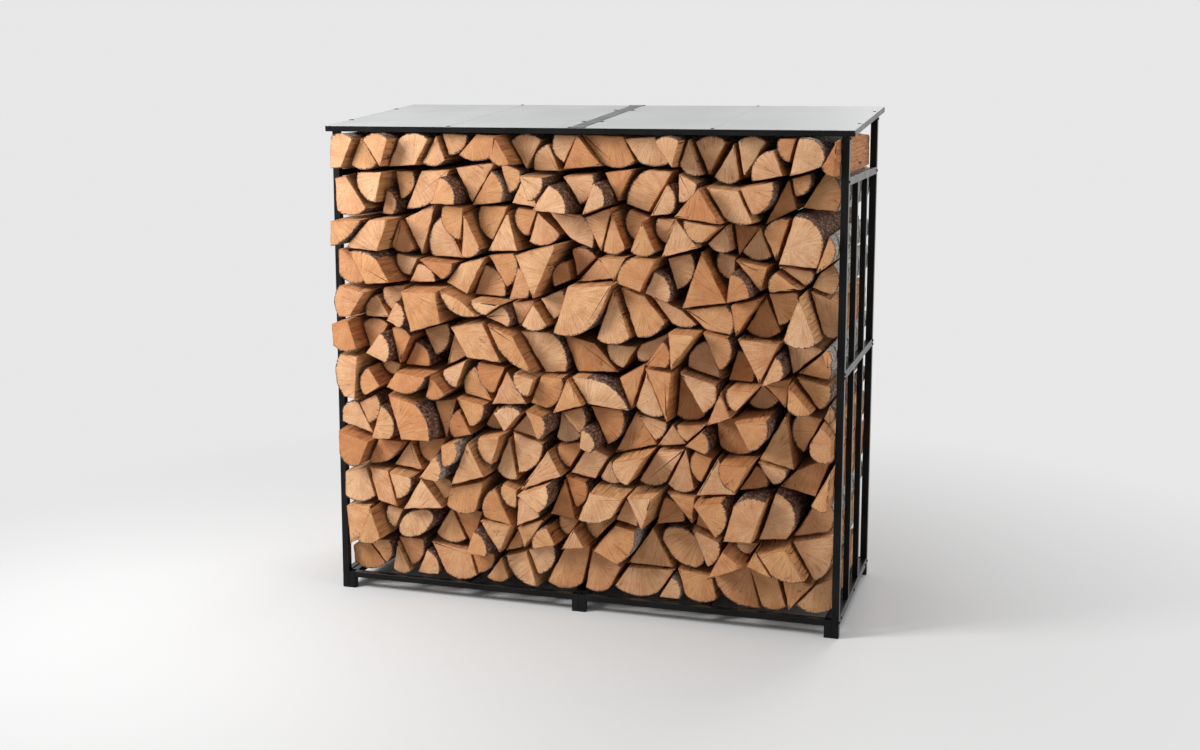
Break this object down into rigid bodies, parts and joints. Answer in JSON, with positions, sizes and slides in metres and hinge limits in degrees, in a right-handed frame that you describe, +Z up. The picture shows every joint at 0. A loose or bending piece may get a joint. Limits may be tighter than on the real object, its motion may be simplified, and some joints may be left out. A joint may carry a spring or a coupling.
{
  "type": "log store",
  "caption": "Black steel-tube log store, about 185 x 76 x 174 cm, with a sloping grey sheet-steel roof, barred sides and short legs, stacked full with split firewood logs.",
  "frame": {"origin": "on the ground, under the middle of the store", "axes": "+X along the width, to the right seen from the front; +Y from front to back; +Z up"},
  "size_m": [1.85, 0.944, 1.7445],
  "materials": {
    "frame_coating": "satin",
    "roof_sheet": "satin",
    "firewood": "matte"
  },
  "bodies": {
    "root": {"left_back_post_lower": "frame_coating", "left_back_post_upper": "frame_coating", "left_base_back_rail": "frame_coating", "left_base_cross_bars": "frame_coating", "left_base_front_rail": "frame_coating", "left_base_legs": "frame_coating", "left_bottom_rail": "frame_coating", "left_front_post_lower": "frame_coating", "left_front_post_upper": "frame_coating", "left_lower_bars": "frame_coating", "left_lower_mid_rail": "frame_coating", "left_top_rail": "frame_coating", "left_upper_bars": "frame_coating", "left_upper_mid_rail": "frame_coating", "log_layer_1": "firewood", "log_layer_2": "firewood", "log_layer_3": "firewood", "log_layer_4": "firewood", "log_layer_5": "firewood", "log_layer_6": "firewood", "right_back_post_lower": "frame_coating", "right_back_post_upper": "frame_coating", "right_base_back_rail": "frame_coating", "right_base_cross_bars": "frame_coating", "right_base_front_rail": "frame_coating", "right_base_legs": "frame_coating", "right_bottom_rail": "frame_coating", "right_front_post_lower": "frame_coating", "right_front_post_upper": "frame_coating", "right_lower_bars": "frame_coating", "right_lower_mid_rail": "frame_coating", "right_top_rail": "frame_coating", "right_upper_bars": "frame_coating", "right_upper_mid_rail": "frame_coating", "roof_back_rail": "frame_coating", "roof_back_trim": "frame_coating", "roof_centre_rafter": "frame_coating", "roof_cover_strip": "roof_sheet", "roof_front_rail": "frame_coating", "roof_front_trim": "frame_coating", "roof_left_sheet": "roof_sheet", "roof_left_trim": "frame_coating", "roof_right_sheet": "roof_sheet", "roof_right_trim": "frame_coating"}
  },
  "joints": []
}
